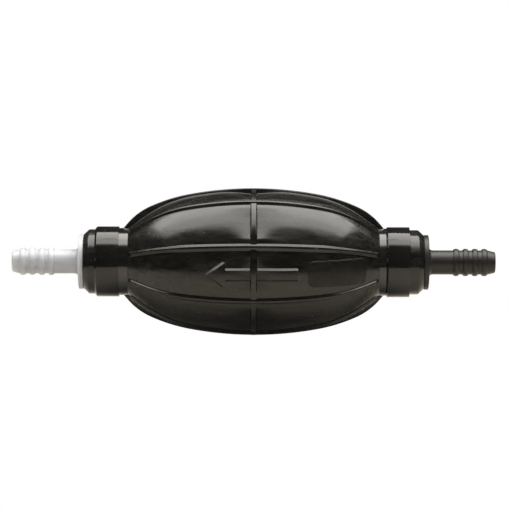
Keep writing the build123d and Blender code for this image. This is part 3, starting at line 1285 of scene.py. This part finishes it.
@dataclass
class Studio:
    """Camera, white floor, and soft panels overhead. Lengths here are in metres."""

    elevation: float = 10.5             # degrees
    distance: float = 1.171
    lens: float = 210.0
    sensor_width: float = 36.0
    clip: tuple[float, float] = (0.05, 20.0)
    roll: float = 0.17                  # degrees
    shift: tuple[float, float] = (0.0027, 0.0135)
    panel_height: float = 0.5
    warm_light: tuple[float, float, float] = (1.0, 0.965, 0.92)
    panels: tuple[SoftPanel, ...] = (
        SoftPanel("front_panel", (-0.54, 0.54), (-0.18, -0.008), 15.0),
        SoftPanel("front_feather", (-0.54, 0.54), (-0.228, -0.12), 4.5),
        SoftPanel("rear_panel", (-0.54, 0.54), (0.002, 0.3), 18.0),
        SoftPanel("left_panel", (-0.54, -0.1), (-0.19, 0.3), 13.0),
        SoftPanel("right_panel", (0.09, 0.54), (-0.19, 0.3), 20.0),
    )
    fill_distance: float = 0.8
    fill_drop: float = 0.267
    fill_size: float = 0.6
    fill_watts: float = 15.0
    paper_half_size: float = 8.0
    paper_gap: float = 0.0005           # from the pump to the card, and from the card to the paper
    card_half_length: float = 0.19
    card_front: float = -0.216
    card_rear: float = 0.35
    card_colour: str = "aba598"
    card_glow_colour: str = "fff9ef"
    card_glow: float = 0.1
    card_roughness: float = 0.9
    room_colour: str = "3f3e3c"

    def camera(self) -> None:
        """Places the camera, which looks at the bulb's arrow panel from a little above."""
        data = bpy.data.cameras.new("camera")
        data.lens = self.lens
        data.sensor_width = self.sensor_width
        data.shift_x = self.shift[0]
        data.shift_y = self.shift[1]
        data.clip_start, data.clip_end = self.clip
        camera = bpy.data.objects.new("camera", data)
        lift = math.radians(self.elevation)
        camera.location = (0, -self.distance * math.cos(lift), self.distance * math.sin(lift))
        turn = Euler((math.radians(90 - self.elevation), 0, 0)).to_matrix()
        turn @= Matrix.Rotation(math.radians(self.roll), 3, "Z")
        camera.rotation_euler = turn.to_euler()
        bpy.context.scene.collection.objects.link(camera)
        bpy.context.scene.camera = camera

    def plane(self, name: str, x: float, low: float, high: float, z: float) -> bpy.types.Object:
        """Adds a level rectangle to the stage.

        Args:
            name: Its name.
            x: Half its length along X.
            low: Its near edge along Y.
            high: Its far edge along Y.
            z: Its height.

        Returns:
            The new object.
        """
        bm = bmesh.new()
        bmesh.ops.create_grid(bm, x_segments=1, y_segments=1, size=1.0)
        bmesh.ops.scale(bm, vec=(x, (high - low) / 2, 1), verts=bm.verts[:])
        bmesh.ops.translate(bm, vec=(0, (high + low) / 2, z), verts=bm.verts[:])
        mesh = bpy.data.meshes.new(name)
        bm.to_mesh(mesh)
        bm.free()
        plane = bpy.data.objects.new(name, mesh)
        bpy.context.scene.collection.objects.link(plane)
        return plane

    def floor(self) -> None:
        """Adds the white floor that the camera sees, and the pale card that lights the underside."""
        rest = CAD_BOX[0].z - self.paper_gap
        paper = bpy.data.materials.new("white_paper")
        paper.use_nodes = True
        paper.node_tree.nodes.clear()
        tree = paper.node_tree
        glow = add_node(tree, "ShaderNodeEmission", values={"Color": linear("ffffff"), "Strength": 1.0})
        add_node(tree, "ShaderNodeOutputMaterial", links={"Surface": glow.outputs["Emission"]})
        half = self.paper_half_size
        floor = self.plane("floor", half, -half, half, rest - self.paper_gap)
        floor.data.materials.append(paper)
        floor.visible_glossy = False
        floor.visible_diffuse = False
        floor.visible_shadow = False
        card_paint = bpy.data.materials.new("pale_card")
        card_paint.use_nodes = True
        shader = card_paint.node_tree.nodes["Principled BSDF"]
        shader.inputs["Base Color"].default_value = linear(self.card_colour)
        shader.inputs["Roughness"].default_value = self.card_roughness
        shader.inputs["Emission Color"].default_value = linear(self.card_glow_colour)
        shader.inputs["Emission Strength"].default_value = self.card_glow
        length = self.card_half_length
        card = self.plane("floor_card", length, self.card_front, self.card_rear, rest)
        card.data.materials.append(card_paint)
        card.visible_camera = False

    def lights(self) -> None:
        """Hangs the soft panels and leaves the rest of the room nearly dark."""
        for panel in self.panels:
            data = bpy.data.lights.new(panel.name, "AREA")
            data.shape = "RECTANGLE"
            data.size = panel.along[1] - panel.along[0]
            data.size_y = panel.across[1] - panel.across[0]
            data.energy = panel.watts_per_area * data.size * data.size_y
            data.color = self.warm_light
            light = bpy.data.objects.new(panel.name, data)
            light.location = (sum(panel.along) / 2, sum(panel.across) / 2, self.panel_height)
            bpy.context.scene.collection.objects.link(light)
        data = bpy.data.lights.new("front_fill", "AREA")
        data.size = self.fill_size
        data.energy = self.fill_watts
        fill = bpy.data.objects.new("front_fill", data)
        fill.location = (0, -self.fill_distance, -self.fill_drop)
        fill.rotation_euler = fill.location.to_track_quat("Z", "Y").to_euler()
        fill.visible_glossy = False
        bpy.context.scene.collection.objects.link(fill)
        world = bpy.data.worlds.new("dim_room")
        world.use_nodes = True
        background = world.node_tree.nodes["Background"]
        background.inputs["Color"].default_value = linear(self.room_colour)
        bpy.context.scene.world = world
        bpy.context.scene.view_settings.view_transform = "Standard"

    def build(self) -> None:
        """Sets up the whole studio."""
        self.camera()
        self.floor()
        self.lights()
        log.info("studio: camera %.1f degrees up, %.0f mm lens", self.elevation, self.lens)


def main() -> None:
    """Builds the studio, the bulb and both ends, in that order."""
    logging.basicConfig(level=logging.INFO, format="%(name)s: %(message)s")
    Studio().build()
    SqueezeBulb().build()
    finishes = {
        "outlet_fitting_plastic": NATURAL_NYLON.material(),
        "inlet_fitting_plastic": BLACK_NYLON.material(),
        "clamp_coating": CLAMP_ENAMEL.material(),
        "valve_plastic": VALVE_ACETAL.material(),
        "seal_rubber": SEAL_RUBBER.material(),
        "spring_steel": SPRING_STEEL.material(),
    }
    for end in End:
        ClampRing(end).build(finishes["clamp_coating"])
        BarbedFitting(end).build(finishes[f"{end.name.lower()}_fitting_plastic"])
        CheckValve(end).build(finishes)


if __name__ == "__main__":
    main()
